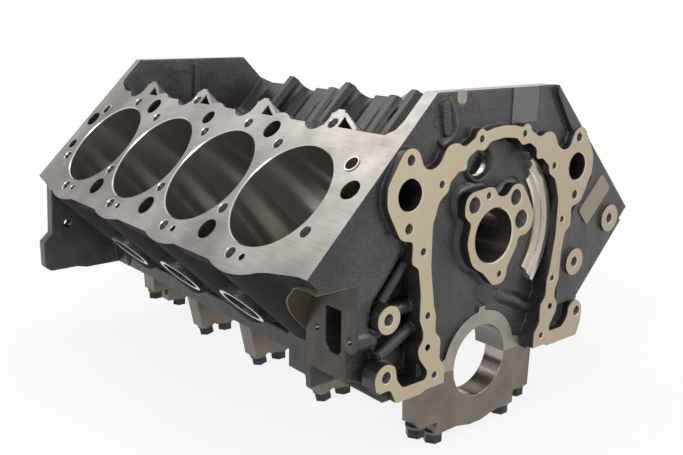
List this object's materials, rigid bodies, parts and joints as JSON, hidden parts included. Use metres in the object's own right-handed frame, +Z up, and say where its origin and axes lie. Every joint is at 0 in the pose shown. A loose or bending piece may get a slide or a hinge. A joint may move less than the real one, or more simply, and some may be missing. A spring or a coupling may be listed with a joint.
{
  "type": "engine block",
  "caption": "Bare V-type engine block casting with open cylinder bores, lifter valley, timing flange and bolted main bearing caps.",
  "frame": {"origin": "crankshaft centre line at the front face of the front main bearing", "axes": "+X to the viewer's right looking at the front, +Y along the crankshaft to the rear, +Z up"},
  "size_m": [0.475, 0.586, 0.3471],
  "materials": {
    "block_iron": "as-cast iron with milled faces",
    "cap_steel": "milled steel, lightly oxidised",
    "bolt_steel": "black oxide",
    "washer_steel": "plain steel",
    "dowel_steel": "ground steel"
  },
  "bodies": {
    "root": {"block": "block_iron", "main_cap_1": "cap_steel", "main_cap_2": "cap_steel", "main_cap_3": "cap_steel", "main_cap_4": "cap_steel", "main_cap_5": "cap_steel", "inner_cap_bolts": "bolt_steel", "end_cap_outer_bolts": "bolt_steel", "splayed_cap_bolts": "bolt_steel", "inner_washers": "washer_steel", "end_cap_outer_washers": "washer_steel", "splayed_washers": "washer_steel", "cap_dowels": "dowel_steel", "head_dowels": "dowel_steel", "rear_dowels": "dowel_steel"}
  },
  "joints": []
}
